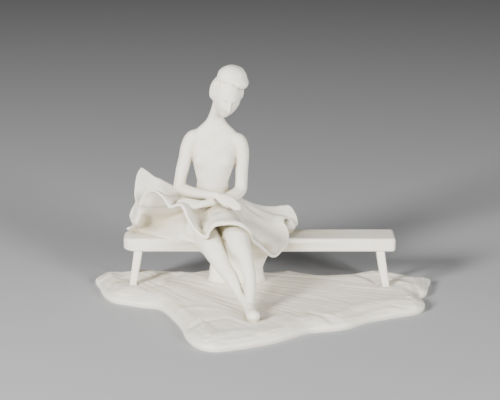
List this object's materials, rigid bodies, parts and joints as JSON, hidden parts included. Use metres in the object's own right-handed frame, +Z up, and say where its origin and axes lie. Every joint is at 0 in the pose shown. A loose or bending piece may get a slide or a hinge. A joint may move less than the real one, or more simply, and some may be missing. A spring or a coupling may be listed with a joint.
{
  "type": "ballerina figurine",
  "caption": "Matt white porcelain figurine of a seated ballerina on a long bench, her skirt spread over it, on a streaked free-edged base.",
  "frame": {"origin": "on the flat underside, under the middle of the figurine's box", "axes": "+Z up, -Y out of the front, where the feet point, +X to the viewer's right along the bench"},
  "size_m": [0.3034, 0.205, 0.2064],
  "materials": {
    "bisque_porcelain": "unglazed matt ivory-white bisque"
  },
  "bodies": {
    "root": {"ballerina_figurine": "bisque_porcelain"}
  },
  "joints": []
}
